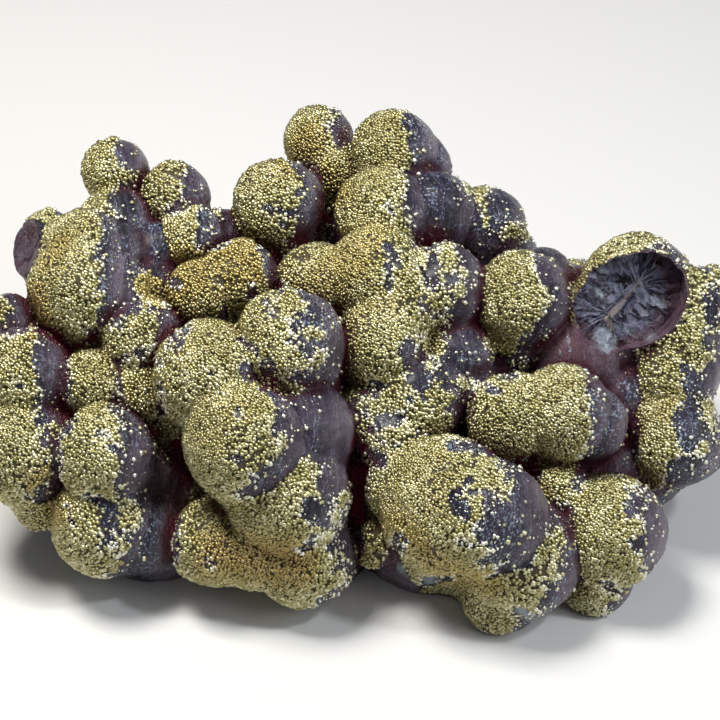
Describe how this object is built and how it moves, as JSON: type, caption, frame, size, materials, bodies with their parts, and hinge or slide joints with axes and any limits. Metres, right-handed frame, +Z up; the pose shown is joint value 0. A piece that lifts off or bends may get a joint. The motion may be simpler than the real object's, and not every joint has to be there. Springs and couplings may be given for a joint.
{
  "type": "fluorite and pyrite specimen",
  "caption": "Heap of round lobes of dark purple fluorite, crusted on one side with small brassy pyrite crystals, resting on a flat cut base.",
  "frame": {"origin": "the middle of the footprint of the whole specimen, at the height of its flat cut base", "axes": "+Z up, square to the cut base; +X along the longest side, to the right for a viewer of the display face; -Y towards that viewer"},
  "size_m": [0.1961, 0.1262, 0.0829],
  "materials": {
    "fluorite": "dark slate-purple fluorite, nearly opaque, satin with fine growth wrinkles",
    "pyrite": "pale brassy pyrite, glittering with crystal faces"
  },
  "bodies": {
    "root": {"fluorite": "fluorite", "pyrite_far_left": "pyrite", "pyrite_far_side": "pyrite", "pyrite_far_side_2": "pyrite", "pyrite_far_side_3": "pyrite", "pyrite_far_side_4": "pyrite", "pyrite_far_side_5": "pyrite", "pyrite_far_side_6": "pyrite", "pyrite_front_left": "pyrite", "pyrite_front_right": "pyrite", "pyrite_left_knobs": "pyrite", "pyrite_left_knobs_2": "pyrite", "pyrite_left_saddle": "pyrite", "pyrite_left_shoulder": "pyrite", "pyrite_right_bolster": "pyrite", "pyrite_right_middle": "pyrite", "pyrite_right_wing": "pyrite", "pyrite_right_wing_2": "pyrite", "pyrite_tower": "pyrite", "pyrite_upper_knobs": "pyrite"}
  },
  "joints": []
}
